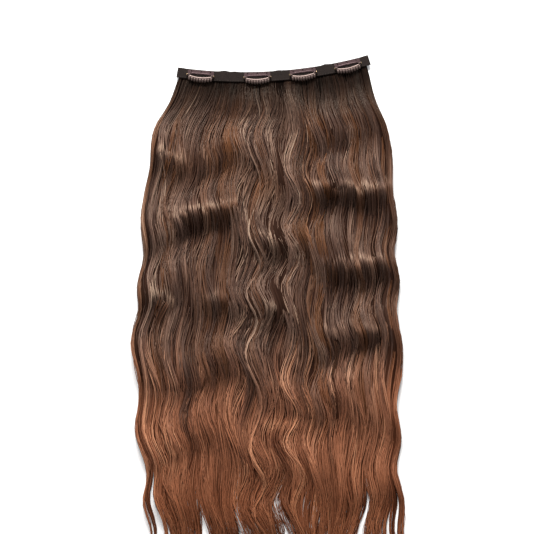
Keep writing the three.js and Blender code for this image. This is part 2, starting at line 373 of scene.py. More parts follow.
def hair_material(name, shade, streaks, roughness, specular):
    """Brown hair that turns copper towards the tips, a little different in each strand, darkened with painted
    shade where it lies deep, under the band and at the tips.
    """
    material, nodes, links, shader = new_material(name)
    tone = attribute_value(nodes, "tone")
    warm = attribute_value(nodes, "warm")
    down = attribute_value(nodes, "down")
    shade_by_depth = attribute_value(nodes, "shade_by_depth")

    def shaded(red, green, blue):
        return linear(red * shade, green * shade, blue * shade)

    upper = ramp_node(nodes, [
        (0.0, shaded(42, 27, 21)),
        (0.35, shaded(82, 59, 51)),
        (0.65, shaded(117, 90, 78)),
        (0.9, shaded(161, 130, 112)),
        (1.0, shaded(194, 164, 142)),
    ])
    lower = ramp_node(nodes, [
        (0.0, shaded(102, 54, 34)),
        (0.35, shaded(154, 96, 68)),
        (0.65, shaded(184, 120, 88)),
        (1.0, shaded(216, 153, 116)),
    ])
    links.new(tone, upper.inputs[0])
    links.new(tone, lower.inputs[0])
    brown = mix_colour(nodes, links, warm, upper.outputs[0], shaded(136, 84, 46))
    ragged = math_node(nodes, links, "MULTIPLY_ADD", tone, 0.12, -0.06)
    place = math_node(nodes, links, "ADD", attribute_value(nodes, "dip"), ragged)
    copper = share_between(nodes, links, place, *COPPER)
    colour = mix_colour(nodes, links, copper, brown, lower.outputs[0])
    out_of_root_shadow = share_between(nodes, links, down, *ROOT_SHADOW)
    into_tip_shadow = share_between(nodes, links, down, *TIP_SHADOW, "LINEAR")
    # Painted shade: the colour darkens on deep strands and under folds, at the roots under the band, and
    # towards the tips
    for share, first, second in (
        (shade_by_depth, linear(98, 65, 48), WHITE),
        (out_of_root_shadow, linear(70, 55, 48), WHITE),
        (into_tip_shadow, WHITE, linear(226, 214, 202)),
    ):
        shade_colour = mix_colour(nodes, links, share, first, second)
        colour = mix_colour(nodes, links, 1.0, colour, shade_colour, "MULTIPLY")
    along = scaled_coordinates(nodes, links, uv_coordinates(nodes, "OFBake"), (900.0, 6.0, 1.0))
    fine = noise_node(nodes, links, along, 1.0, 4.0)
    low, high = STREAKS[streaks]
    streak = ramp_node(nodes, [(0.3, (low, low, low, 1.0)), (0.7, (high, high, high, 1.0))])
    links.new(fine, streak.inputs[0])
    colour = mix_colour(nodes, links, 1.0, colour, streak.outputs[0], "MULTIPLY")
    add_bump(nodes, links, shader, fine, 0.5, 0.0002)
    links.new(colour, shader.inputs["Base Color"])
    shader.inputs["Roughness"].default_value = roughness
    shader.inputs["Specular IOR Level"].default_value = specular
    shader.inputs["Specular Tint"].default_value = (1.0, 0.82, 0.66, 1.0)
    return material


def ribbon_material():
    """A fine ribbed ribbon, near black brown."""
    material, nodes, links, shader = new_material("woven_ribbon")
    coordinates = uv_coordinates(nodes, "weave")
    ribs = wave_node(nodes, links, coordinates, "X", 0.55, 0.6)
    threads = wave_node(nodes, links, coordinates, "Y", 0.7, 0.4)
    weave = math_node(nodes, links, "MULTIPLY", ribs, threads)
    patches = noise_node(nodes, links, coordinates, 0.08)
    colour = ramp_node(nodes, [(0.0, linear(12, 8, 7)), (1.0, linear(38, 28, 24))])
    links.new(math_node(nodes, links, "MULTIPLY_ADD", weave, 0.6, patches), colour.inputs[0])
    links.new(colour.outputs[0], shader.inputs["Base Color"])
    add_bump(nodes, links, shader, weave, 0.6, 0.0003)
    shader.inputs["Roughness"].default_value = 0.8
    shader.inputs["Specular IOR Level"].default_value = 0.2
    return material


def steel_material(name, base, worn, roughness, metallic):
    """Painted spring steel with small scuffs, or bare steel."""
    material, nodes, links, shader = new_material(name)
    coordinates = nodes.new("ShaderNodeTexCoord").outputs["Object"]
    scuffs = noise_node(nodes, links, coordinates, 2600.0, 5.0)
    colour = ramp_node(nodes, [(0.45, base), (0.75, worn)])
    links.new(scuffs, colour.inputs[0])
    links.new(colour.outputs[0], shader.inputs["Base Color"])
    gloss = nodes.new("ShaderNodeMapRange")
    gloss.inputs["To Min"].default_value = roughness - 0.06
    gloss.inputs["To Max"].default_value = roughness + 0.12
    links.new(noise_node(nodes, links, coordinates, 900.0, 3.0), gloss.inputs["Value"])
    links.new(gloss.outputs[0], shader.inputs["Roughness"])
    shader.inputs["Metallic"].default_value = metallic
    return material


def thread_material():
    material, nodes, links, shader = new_material("sewing_thread")
    coordinates = nodes.new("ShaderNodeTexCoord").outputs["Object"]
    twist = noise_node(nodes, links, coordinates, 3000.0, 2.0)
    colour = ramp_node(nodes, [(0.3, linear(28, 20, 18)), (0.7, linear(70, 54, 46))])
    links.new(twist, colour.inputs[0])
    links.new(colour.outputs[0], shader.inputs["Base Color"])
    shader.inputs["Roughness"].default_value = 0.7
    return material


STRAND_HAIR = hair_material("hair_strands", 1.0, "fine", roughness=0.4, specular=0.38)
# The core is a darker copy of the hair: painted shade for the hair inside the curtain
CORE_HAIR = hair_material("hair_core", 0.9, "strong", roughness=0.8, specular=0.06)
RIBBON = ribbon_material()
CLIP_PAINT = steel_material(
    "clip_paint", linear(66, 48, 50), linear(88, 68, 68), roughness=0.34, metallic=0.6
)
COMB_PAINT = steel_material(
    "comb_paint", linear(80, 64, 60), linear(112, 95, 87), roughness=0.38, metallic=0.5
)
PIN_METAL = steel_material(
    "pin_metal", linear(196, 166, 120), linear(226, 208, 178), roughness=0.25, metallic=0.9
)
THREAD = thread_material()


# The hair's flow
def hair_plan(root, tip, way, sway):
    """Where hair lies in plan, from its root's and tip's shares and the way down it."""
    root_x, root_y = on_band(root * BAND_LENGTH, 0.0)
    down = np.clip(way / HAIR_LENGTH, 0.0, 1.0)
    spread_out = 1.0 - (1.0 - np.clip(way / FAN, 0.0, 1.0)) ** 2
    left = column_at(OUTLINE, "down", "left", down)
    right = column_at(OUTLINE, "down", "right", down)
    full = root * FULLNESS
    share = full + (tip - full) * smooth(PART_FROM * HAIR_LENGTH, HAIR_LENGTH, way)
    fanned = (left + (right - left) * (share + 0.5)) * HAIR_SPREAD
    x = root_x + (fanned - root_x) * spread_out + sway * spread_out
    y = root_y * (1.0 - spread_out) - way
    return x, y


def wave_share(across, way, shift):
    """How far through its wave the hair is, in waves."""
    crest = column_at(PANELS, "across", "crest", across)
    drift = WAVE_DRIFT * np.sin(2.0 * np.pi * (way / DRIFT_LENGTH + 2.3 * across))
    return way / WAVE - crest + drift + shift


def gentle_wave(across, way, shift):
    """From -1 to 1: a long climb to each crest and a short drop after it."""
    phase = np.mod(wave_share(across, way, shift), 1.0)
    falling = np.cos(np.pi * phase / WAVE_DROP)
    climbing = -np.cos(np.pi * (phase - WAVE_DROP) / (1.0 - WAVE_DROP))
    return np.where(phase < WAVE_DROP, falling, climbing)


def fold_parts(across, way, jitter):
    """For each strong fold: its row, how far past its crest line the hair is, and how fully it is inside."""
    for fold in FOLDS:
        aside = (across - fold["across"]) / fold["half"]
        crest_line = fold["down"] * HAIR_LENGTH + fold["bow"] * (1.0 - aside ** 2) + fold["slant"] * aside
        yield fold, way - crest_line - jitter, smooth(1.15, 0.6, np.abs(aside))


def fold_height(across, way, jitter):
    """The strong folds' height, as a share of the full rise."""
    height = np.zeros(np.broadcast(across, way).shape)
    for fold, past, inside in fold_parts(across, way, jitter):
        brow = np.clip((past + FOLD_BROW) / FOLD_BROW, 0.0, 1.0)
        dropped = np.clip(past / FOLD_DROP, 0.0, 1.0)
        climb = 0.35 * smooth(-FOLD_CLIMB, -FOLD_BROW, past) + 0.65 * brow ** 2
        climb = climb - 1.35 * np.sin(0.5 * np.pi * dropped)
        climb = climb + 0.35 * smooth(FOLD_DROP, FOLD_DROP + FOLD_SETTLE, past)
        height = height + fold["rise"] * inside * climb
    return height


def fold_highlight_and_shade(across, way, jitter):
    """How much painted highlight the hair gets on the bright brow of a fold, and how much painted shade in
    the dark under one.
    """
    brow = np.zeros(np.broadcast(across, way).shape)
    under = np.zeros(brow.shape)
    for fold, past, inside in fold_parts(across, way, jitter):
        strength = min(1.0, fold["rise"]) * inside
        brow = brow + strength * np.exp(-(((past + BROW_WIDTH) / BROW_WIDTH) ** 2))
        under = under + strength * np.exp(-(((past - 0.75 * FOLD_DROP) / (0.6 * FOLD_DROP)) ** 2))
    return np.minimum(brow, 1.0), np.minimum(under, 1.0)


def hair_top(across, way, end, jitter, shift):
    """The height of the curtain's top."""
    swelled = smooth(ROOT_STRAIGHT, ROOT_STRAIGHT + SWELL, way)
    thinned = smooth(0.55 * end, end, way)
    body = TRACK_TOP + (HAIR_DEPTH - TRACK_TOP) * swelled
    body = body + (TIP_DEPTH - body) * thinned
    gentle = column_at(PANELS, "across", "rise", across) * gentle_wave(across, way, shift)
    rise = (gentle + fold_height(across, way, jitter)) * RISE * swelled * (1.0 - 0.6 * thinned)
    return np.maximum(TRACK_TOP * 0.9, body + rise)


def clump_tip(root):
    """Where hair from a root ends up, as a share of the curtain's width, and how far down it reaches."""
    starts = np.array([clump["from"] for clump in CLUMPS])
    row = np.clip(np.searchsorted(starts, root, side="right") - 1, 0, len(CLUMPS) - 1)
    column = {key: np.array([clump[key] for clump in CLUMPS])[row] for key in CLUMPS[0]}
    inside = np.clip((root - column["from"]) / (column["to"] - column["from"]), 0.0, 1.0)
    return column["left"] + (column["right"] - column["left"]) * inside, column["end"]


def dip_shift(across):
    """How much sooner the copper starts towards the curtain's sides, as a share of the hair's length."""
    return 0.07 * smooth(0.33, 0.48, across) + 0.045 * smooth(-0.36, -0.48, across)


def golden(across, way):
    """How golden the hair is in the few warm patches."""
    warmth = np.zeros(np.broadcast(across, way).shape)
    for patch in GOLDEN:
        aside = (across - patch["across"]) / patch["half"]
        along = (way / HAIR_LENGTH - patch["down"]) / patch["long"]
        warmth = warmth + patch["warmth"] * np.exp(-(aside ** 2) - along ** 2)
    return warmth


def station_shares(root, jitter):
    """The shares down each lock where its shape is told, closer together at the folds."""
    fine = np.linspace(0.0, 1.0, 300)[None, :]
    weight = 1.0 + 1.6 * np.exp(-((fine / ROOT_SHARE) ** 2)) + np.zeros((len(root), 1))
    for fold in FOLDS:
        inside = smooth(1.15, 0.95, np.abs(root - fold["across"]) / fold["half"])[:, None]
        away = (fine - fold["down"]) * HAIR_LENGTH - jitter[:, None]
        weight = weight + 2.4 * inside * np.exp(-((away / FOLD_DROP) ** 2))
    total = np.cumsum(weight, axis=1)
    total = (total - total[:, :1]) / (total[:, -1:] - total[:, :1])
    even = np.linspace(0.0, 1.0, STATIONS)
    return np.stack([np.interp(even, row, fine[0]) for row in total])


# The hair's pieces
def tube_piece(name, centre, across_radius, up_radius, facts, material, sides, rows):
    """One mesh of many closed tubes. centre is tubes by stations by 3, in millimetres."""
    tubes, stations, _ = centre.shape
    along = np.gradient(centre, axis=1)
    along /= np.linalg.norm(along, axis=2, keepdims=True)
    side = np.cross(along, np.array([0.0, 0.0, 1.0]))
    side /= np.linalg.norm(side, axis=2, keepdims=True)
    up = np.cross(side, along)
    turn = 2.0 * np.pi * (np.arange(sides) + 0.25) / sides
    out = np.cos(turn)[None, None, :, None] * side[:, :, None, :] * across_radius[:, :, None, None]
    out = out + np.sin(turn)[None, None, :, None] * up[:, :, None, :] * up_radius[:, :, None, None]
    points = (centre[:, :, None, :] + out).reshape(-1, 3) * MM

    ring = np.arange(sides)
    next_ring = (ring + 1) % sides
    station = np.arange(stations - 1)[:, None]
    low = station * sides
    quad = np.stack([low + ring, low + sides + ring, low + sides + next_ring, low + next_ring], axis=-1)
    quad = quad.reshape(-1, 4)
    start = (np.arange(tubes) * stations * sides)[:, None, None]
    quads = (quad[None] + start).reshape(-1)
    first_cap = ring
    last_cap = ring[::-1] + (stations - 1) * sides
    caps = np.concatenate([first_cap, last_cap])
    caps = (caps[None] + start[:, :, 0]).reshape(-1)

    mesh = bpy.data.meshes.new(name)
    quad_count = tubes * (stations - 1) * sides
    cap_count = tubes * 2
    mesh.vertices.add(len(points))
    mesh.vertices.foreach_set("co", points.astype(np.float32).ravel())
    mesh.loops.add(quad_count * 4 + cap_count * sides)
    mesh.loops.foreach_set("vertex_index", np.concatenate([quads, caps]).astype(np.int32))
    mesh.polygons.add(quad_count + cap_count)
    starts = np.concatenate([
        np.arange(quad_count) * 4,
        quad_count * 4 + np.arange(cap_count) * sides,
    ])
    mesh.polygons.foreach_set("loop_start", starts.astype(np.int32))
    mesh.update(calc_edges=True)
    mesh.shade_smooth()

    for fact, values in facts.items():
        attribute = mesh.attributes.new(fact, "FLOAT", "POINT")
        whole = np.broadcast_to(values[:, :, None], (tubes, stations, sides))
        attribute.data.foreach_set("value", whole.astype(np.float32).ravel())

    columns = math.ceil(tubes / rows)
    tube = np.arange(tubes)
    column = tube % columns
    row = tube // columns
    corner_side = np.array([0, 0, 1, 1])
    corner_along = np.array([0, 1, 1, 0])
    u = (ring[None, :, None] + corner_side[None, None, :]) / sides
    u = np.broadcast_to(u, (stations - 1, sides, 4))
    v = (np.arange(stations - 1)[:, None, None] + corner_along[None, None, :]) / (stations - 1)
    v = np.broadcast_to(v, (stations - 1, sides, 4))
    quad_u = (column[:, None, None, None] + 0.05 + 0.9 * u[None]) / columns
    quad_v = (row[:, None, None, None] + 0.01 + 0.98 * v[None]) / rows
    cap_u = np.repeat((column + 0.5) / columns, 2 * sides)
    cap_v = np.repeat(np.stack([row + 0.01, row + 0.99], axis=1) / rows, sides, axis=1).ravel()
    flat = np.concatenate([
        np.stack([quad_u.ravel(), quad_v.ravel()], axis=1),
        np.stack([cap_u, cap_v], axis=1),
    ])
    layer = mesh.uv_layers.new(name="OFBake")
    layer.data.foreach_set("uv", flat.astype(np.float32).ravel())
    return add_object(name, mesh, material)


def hair_core():
    """The dense inside of the curtain, in flat locks that no floor shows through."""
    root = np.linspace(-CORE_ROOT_LIMIT, CORE_ROOT_LIMIT, CORE_COUNT)[:, None]
    tip, reach = clump_tip(root)
    end = reach * HAIR_LENGTH * CORE_REACH
    way = np.linspace(0.0, 1.0, STATIONS)[None, :] * (end + START_ABOVE) - START_ABOVE
    wave = gentle_wave(root, way, 0.0)
    sway = column_at(PANELS, "across", "sway", root) * np.sin(2.0 * np.pi * wave_share(root, way, 0.0))
    x, y = hair_plan(root, tip, np.maximum(way, 0.0), sway)
    y = y - np.minimum(way, 0.0)
    top = hair_top(root, way, end, 0.0, 0.0) * 0.8
    half_height = np.maximum(0.5, top / 2.0 - 0.2)
    middle = 0.4 + half_height
    taper = 1.0 - 0.9 * smooth(0.78 * end, end, way)
    half_width = (CORE_HALF_WIDTH * taper) * (0.62 + 0.38 * smooth(0.0, FAN, way))
    centre = np.stack([x, y, middle], axis=2)
    tone = np.broadcast_to(random.uniform(0.15, 0.5, (CORE_COUNT, 1)), x.shape)
    facts = {
        "tone": tone,
        "warm": np.full(x.shape, 0.1),
        "down": np.clip(way / HAIR_LENGTH, 0.0, 1.0),
        "dip": way / HAIR_LENGTH + dip_shift(root),
        # Painted shade: the core is darkened all over, a little less on its wave tops
        "shade_by_depth": 0.25 + 0.2 * (wave + 1.0) / 2.0,
    }
    return tube_piece("hair_core", centre, half_width, half_height, facts, CORE_HAIR, sides=10, rows=1)


def drawn(ranges, name, count):
    return random.uniform(*ranges[name], count)


def scattered(name):
    return random.normal(0.0, LOCK_SCATTER[name], LOCK_COUNT)


def hair_locks():
    """Every strand of every lock, as tubes, from the lowest lock to the highest."""
    layer = np.linspace(0.0, 1.0, LOCK_COUNT)
    order = random.permutation(LOCK_COUNT)
    root = np.linspace(-ROOT_SPAN, ROOT_SPAN, LOCK_COUNT)[order]
    root = np.clip(root + scattered("root"), -ROOT_LIMIT, ROOT_LIMIT)
    half_width = drawn(LOCK_RANGES, "half_width", LOCK_COUNT)
    half_width = np.minimum(half_width, (BAND_LIMIT - np.abs(root)) * BAND_LENGTH)
    half_height = drawn(LOCK_RANGES, "half_height", LOCK_COUNT)
    own_shift = scattered("own_shift")
    sway_size = drawn(LOCK_RANGES, "sway_share", LOCK_COUNT)
    meander = drawn(LOCK_RANGES, "meander", LOCK_COUNT)
    at_edge = smooth(0.4, 0.46, np.abs(root))
    sway_size = sway_size + (1.0 - sway_size) * at_edge
    meander = meander * (1.0 - 0.75 * at_edge)
    half_width = half_width * (1.0 - 0.55 * at_edge)
    own_shift = own_shift * (1.0 - 0.8 * at_edge)
    meander_length = drawn(LOCK_RANGES, "meander_length", LOCK_COUNT)
    meander_start = random.uniform(0.0, 1.0, LOCK_COUNT)
    lift = scattered("lift")
    twist = random.uniform(-1.0, 1.0, LOCK_COUNT) * 2.0 * np.pi / TWIST_LENGTH
    twist_start = random.uniform(0.0, 2.0 * np.pi, LOCK_COUNT)
    fold_jitter = scattered("fold_jitter")
    wave_shift = scattered("wave_shift")
    lock_tone = random.uniform(-1.0, 1.0, LOCK_COUNT)
    patch_length = drawn(LOCK_RANGES, "patch_length", LOCK_COUNT)
    patch_start = random.uniform(0.0, 1.0, LOCK_COUNT)
    own_dip = scattered("own_dip")
    lock_warmth = 0.5 * random.uniform(0.0, 1.0, LOCK_COUNT) ** 3
    tip, reach_down = clump_tip(root)
    tip = tip + scattered("tip")
    end = reach_down * HAIR_LENGTH * drawn(LOCK_RANGES, "end_share", LOCK_COUNT)

    lock = np.repeat(np.arange(LOCK_COUNT), STRANDS_IN_LOCK)
    strands = len(lock)
    angle = random.uniform(0.0, 2.0 * np.pi, strands)
    reach = np.sqrt(random.uniform(0.0, 1.0, strands))
    strand_end = end[lock] * drawn(STRAND_RANGES, "end_share", strands)
    fine_size = drawn(STRAND_RANGES, "fine_size", strands)
    loose = random.uniform(0.0, 1.0, strands) < LOOSE_SHARE
    fine_size = np.where(loose, LOOSE_SIZE, fine_size)
    fine_length = drawn(STRAND_RANGES, "fine_length", strands)
    fine_start = random.uniform(0.0, 2.0 * np.pi, (2, strands))
    tone = np.clip(0.52 + 0.26 * lock_tone[lock] + random.normal(0.0, 0.08, strands), 0.0, 1.0)
    tone = np.where(random.uniform(0.0, 1.0, strands) < LIGHT_SHARE, tone + LIGHT_BY, tone)
    tone = np.where(loose, 0.5, np.clip(tone, 0.0, 1.0))
    warmth = np.clip(lock_warmth[lock] + random.normal(0.0, 0.05, strands), 0.0, 0.85)
    thickness = drawn(STRAND_RANGES, "radius", strands)

    share = station_shares(root, fold_jitter)[lock]
    way = share * (strand_end[:, None] + START_ABOVE) - START_ABOVE
    way_on = np.maximum(way, 0.0)
    across = np.broadcast_to(root[lock][:, None], way.shape)
    swing = sway_size * column_at(PANELS, "across", "sway", root)
    sway = swing[lock][:, None] * np.sin(2.0 * np.pi * wave_share(across, way, own_shift[lock][:, None]))
    wander = 2.0 * np.pi * (way / meander_length[lock][:, None] + meander_start[lock][:, None])
    sway = sway + meander[lock][:, None] * np.sin(wander)

    turn = angle[:, None] + twist_start[lock][:, None] + twist[lock][:, None] * way_on
    gather = 1.0 - 0.25 * smooth(20.0, 150.0, way) - 0.35 * smooth(0.85, 1.0, way / strand_end[:, None])
    offset = np.cos(turn) * reach[:, None] * half_width[lock][:, None] * gather
    rise = np.sin(turn) * reach[:, None] * half_height[lock][:, None]
    fine = 2.0 * np.pi * way / fine_length[:, None]
    loosened = smooth(5.0, 70.0, way) * fine_size[:, None]
    offset = offset + loosened * np.sin(fine + fine_start[0][:, None])

    plan_x, plan_y = hair_plan(across, tip[lock][:, None], way_on, sway)
    x = plan_x + offset
    y = plan_y - np.minimum(way, 0.0)
    top = hair_top(across, way, end[lock][:, None], fold_jitter[lock][:, None], wave_shift[lock][:, None])
    level = (0.52 + 0.48 * layer[lock])[:, None]
    spread_up = smooth(4.0, 45.0, way)
    z = top * level - 0.5 + (rise + lift[lock][:, None]) * (0.25 + 0.75 * spread_up)
    z = z + 0.35 * loosened * np.sin(1.7 * fine + fine_start[1][:, None])
    z = z + np.where(loose, 1.0, 0.0)[:, None] * spread_up
    under_band = TRACK_TOP - 0.35
    z = np.minimum(z, under_band + (HAIR_DEPTH * 2.4) * smooth(6.0, 40.0, way))
    z = np.maximum(z, LOWEST_STRAND)
    ends = smooth(0.0, 0.01, share) * (1.0 - 0.75 * smooth(0.8, 1.0, share))
    radius = thickness[:, None] * (0.35 + 0.65 * ends)
    # Painted highlight on the folds' brows and painted shade under them
    brow, under = fold_highlight_and_shade(across, way, fold_jitter[lock][:, None])
    # Painted shade: lower locks, the undersides of locks and the hair under the folds are made darker
    shade_by_depth = 0.3 + 0.7 * layer[lock][:, None] + 0.35 * rise / half_height[lock][:, None]
    shade_by_depth = shade_by_depth - UNDER_SHADE * under
    shade_by_depth = np.clip(shade_by_depth, 0.0, 1.0)
    centre = np.stack([x, y, z], axis=2)
    patch = 2.0 * np.pi * (way / patch_length[lock][:, None] + patch_start[lock][:, None])
    # Painted shade: the panels' tone darkens the upper right of the curtain and lightens its centre
    panel_tone_and_shade = column_at(PANELS, "across", "tone", root)[lock][:, None] * smooth(340.0, 220.0, way)
    facts = {
        # The tone holds each strand's own tone and also the painted highlight on the fold brows
        "tone": np.clip(tone[:, None] + panel_tone_and_shade + 0.12 * np.sin(patch) + BROW_SHINE * brow, 0.0, 1.0),
        "warm": np.clip(warmth[:, None] + golden(across, way), 0.0, 0.85),
        "down": np.clip(way / HAIR_LENGTH, 0.0, 1.0),
        "dip": way / HAIR_LENGTH + (dip_shift(root) + own_dip)[lock][:, None],
        "shade_by_depth": shade_by_depth,
    }
    cuts = np.linspace(0, strands, STRAND_PIECES + 1).astype(int)
    for number in range(STRAND_PIECES):
        some = slice(cuts[number], cuts[number + 1])
        chosen = {fact: values[some] for fact, values in facts.items()}
        name = f"hair_strands_{number + 1}"
        flat = STRAND_FLATNESS * radius[some]
        tube_piece(name, centre[some], radius[some], flat, chosen, STRAND_HAIR, sides=3, rows=4)


core = hair_core()
hair_locks()
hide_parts("hair_weft")


# The band
BAND_STEPS = 150
TRACK_FOOT = 0.05
TRACK_INSET = 0.8


def strip_mesh(name, foot, thickness, half, inset, profile, lift=None):
    """A strip along the band with a rounded section. profile is a list of (across, up) shares."""
    count = len(profile)
    half_length = BAND_LENGTH / 2 - inset
    points = []
    weave = []
    for step in range(BAND_STEPS + 1):
        along = -half_length + 2.0 * half_length * step / BAND_STEPS
        bulge, raised = lift(along) if lift else (0.0, 0.0)
        for across_share, up_share in profile:
            across = across_share * half
            across += bulge * max(0.0, across_share)
            x, y = on_band(along, across)
            points.append((float(x), float(y), foot + thickness * up_share + raised * (0.3 + 0.7 * up_share)))
            weave.append((along, across))
    faces = []
    for step in range(BAND_STEPS):
        for k in range(count):
            a = step * count + k
            b = step * count + (k + 1) % count
            faces.append((a, a + count, b + count, b))
    faces.append(tuple(range(count)))
    faces.append(tuple(range(BAND_STEPS * count + count - 1, BAND_STEPS * count - 1, -1)))
    mesh = mesh_from(name, points, faces)
    layer = mesh.uv_layers.new(name="weave")
    for loop, corner in zip(mesh.loops, layer.data):
        corner.uv = weave[loop.vertex_index]
    return mesh


def strip_profile(corner):
    """The points round a flat section with rounded edges, in shares of the half width and the thickness."""
    near = 1.0 - corner * 0.3
    edge = [(1.0 - corner, 1.0), (near, 0.86), (1.0, 0.5), (near, 0.14), (1.0 - corner, 0.0)]
    flat = [0.75, 0.5, 0.25, 0.0, -0.25, -0.5, -0.75]
    lower = [(share, 0.0) for share in flat]
    upper = [(-share, 1.0) for share in flat]
    mirrored = [(-across, up) for across, up in reversed(edge)]
    return edge + lower + mirrored + upper


def pucker(along):
    """How the ribbon bulges at its top edge and lifts between the clips."""
    clear = min(abs(along - place * BAND_LENGTH) for place in CLIP_PLACES.values())
    slack = float(smooth(17.0, 30.0, clear))
    ripple = 0.5 + 0.5 * math.sin(along * 0.31 + 1.0) * math.cos(along * 0.11)
    return 1.5 * slack * ripple, 0.25 * slack * ripple


band_half = BAND_HEIGHT / 2
ribbon_section = strip_profile(corner=0.08)
ribbon_mesh = strip_mesh(
    "ribbon_cloth", RIBBON_FOOT, RIBBON_THICKNESS, band_half, 0.0, ribbon_section, pucker
)
ribbon = add_object("ribbon_cloth", ribbon_mesh, RIBBON)
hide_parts("band_ribbon")

track_half = band_half - TRACK_INSET
track_height = TRACK_TOP - TRACK_FOOT
track_section = strip_profile(corner=0.2)
track_mesh = strip_mesh("sewn_track", TRACK_FOOT, track_height, track_half, TRACK_INSET, track_section)
add_object("sewn_track", track_mesh, RIBBON)


# The clips, each in its own frame: X along it, Y towards the band's top edge, Z up from its foot
SHEET = 0.5
BAR_TOP = 4.8
BAR_FOOT = 0.2
PIVOT_Y = -1.35
PIVOT_Z = 1.95
EAR_OUTER = 14.9
LEG_FOOT = -2.6
RAIL_DIP = 5.2
RAIL_WIDTH = 1.5
LEG_WIDTH = 2.4
KNUCKLE_OUTER = 14.1
KNUCKLE_INNER = 12.4
SPINE_DIP = 2.6
SPINE_WIDTH = 2.3
BOW = 0.9
TEETH = 9
TOOTH_PITCH = 3.1
HOLES = (-11.0, 0.0, 11.0)
HOLE_Y = 3.5
HOLE_RADIUS = 0.8
EAR_HALF = 1.25
EAR_FOOT = 0.2
KNUCKLE_RADIUS = 1.15
BORE_RADIUS = 0.75
ROUND_SIDES = 24
PIN_RADIUS = 0.45
RIVET_RADIUS = 1.28
RIVET_RIM = 0.2
RIVET_DOME = 0.6
LEAF_STEPS = 32
RIB_STEPS = 14
RIB_SIDES = 16
RIB_INSET = 0.4
RIB_HALF_WIDTH = 0.8
RIB_TOP = SHEET + 0.5
RIB_Y = BAR_FOOT + 1.05
SHEET_EDGE = 0.14


def clip_place(at):
    """A function that takes a clip's own coordinates to the model's frame."""
    along = at * BAND_LENGTH
    x, y = on_band(along, 0.0)
    turn = turn_at(along)
    cosine, sine = math.cos(turn), math.sin(turn)

    def place(point):
        px, py, pz = point
        return (float(x + px * cosine - py * sine), float(y + px * sine + py * cosine), CLIP_FOOT + pz)

    return place


class Shell:
    """Points and faces that are gathered into one mesh."""

    def __init__(self):
        self.points = []
        self.faces = []

    def loft(self, rings):
        start = len(self.points)
        count = len(rings[0])
        for ring in rings:
            self.points.extend(ring)
        for step in range(len(rings) - 1):
            for k in range(count):
                a = start + step * count + k
                b = start + step * count + (k + 1) % count
                self.faces.append((a, b, b + count, a + count))
        self.faces.append(tuple(start + k for k in reversed(range(count))))
        last = start + (len(rings) - 1) * count
        self.faces.append(tuple(last + k for k in range(count)))

    def turned(self, profile, centre):
        """A round body about an axis along X. profile is a list of (x, radius)."""
        rings = []
        for x, radius in profile:
            ring = []
            for k in range(ROUND_SIDES):
                turn = 2.0 * math.pi * k / ROUND_SIDES
                ring.append((x, centre[0] + radius * math.cos(turn), centre[1] + radius * math.sin(turn)))
            rings.append(ring)
        if rings[0][0][0] > rings[-1][0][0]:
            rings.reverse()
        self.loft(rings)


def flat_shape(name, outlines, thickness, bevel):
    """A pressed sheet with bevelled edges. The first outline is its edge and the others are its holes."""
    curve = bpy.data.curves.new(name, "CURVE")
    curve.dimensions = "2D"
    curve.fill_mode = "BOTH"
    curve.extrude = thickness / 2 - bevel
    curve.bevel_depth = bevel
    curve.bevel_resolution = 2
    for outline in outlines:
        spline = curve.splines.new("POLY")
        spline.points.add(len(outline) - 1)
        for point, (x, y) in zip(spline.points, outline):
            point.co = (x, y, 0.0, 1.0)
        spline.use_cyclic_u = True
    holder = bpy.data.objects.new(name, curve)
    bpy.context.scene.collection.objects.link(holder)
    bpy.context.view_layer.update()
    mesh = bpy.data.meshes.new_from_object(holder.evaluated_get(bpy.context.evaluated_depsgraph_get()))
    points = [tuple(v.co) for v in mesh.vertices]
    faces = [tuple(p.vertices) for p in mesh.polygons]
    bpy.data.objects.remove(holder)
    bpy.data.curves.remove(curve)
    bpy.data.meshes.remove(mesh)
    return points, faces


def arc_points(x, y, radius, start, end, steps):
    turns = [math.radians(start + (end - start) * k / steps) for k in range(steps + 1)]
    return [(x + radius * math.cos(turn), y + radius * math.sin(turn)) for turn in turns]


def smile(half, end_y, dip, steps, leftwards=False):
    """Points on a sagging curve between two ends at the same height."""
    shares = [k / steps for k in range(steps + 1)]
    points = [(half * (2 * share - 1), end_y - dip * 4 * share * (1 - share)) for share in shares]
    return points[::-1] if leftwards else points


def base_sheet():
    corner = 1.5
    edge = smile(EAR_OUTER, LEG_FOOT, RAIL_DIP, 28)
    edge += arc_points(EAR_OUTER - corner, BAR_TOP - corner, corner, 0, 90, 8)
    edge += arc_points(corner - EAR_OUTER, BAR_TOP - corner, corner, 90, 180, 8)
    inner = EAR_OUTER - LEG_WIDTH
    window = [(-inner, BAR_FOOT), (inner, BAR_FOOT)]
    window += smile(inner, LEG_FOOT, RAIL_DIP - RAIL_WIDTH, 24, True)
    holes = [arc_points(x, HOLE_Y, HOLE_RADIUS, 0, 345, 23) for x in HOLES]
    return flat_shape("base_sheet", [edge, window] + holes, SHEET, bevel=0.1)


def rib_rings(half_length):
    """The long low swelling with round ends along a clip's bar."""
    rings = []
    for k in range(RIB_STEPS + 1):
        along = -math.cos(math.pi * k / RIB_STEPS)
        full = max(0.06, math.sqrt(max(0.0, 1.0 - along ** 8)))
        ring = []
        for j in range(RIB_SIDES):
            turn = 2.0 * math.pi * j / RIB_SIDES
            y = RIB_Y + RIB_HALF_WIDTH * full * math.cos(turn)
            z = RIB_TOP * full * math.sin(turn)
            ring.append((along * half_length, y, z))
        rings.append(ring)
    return rings


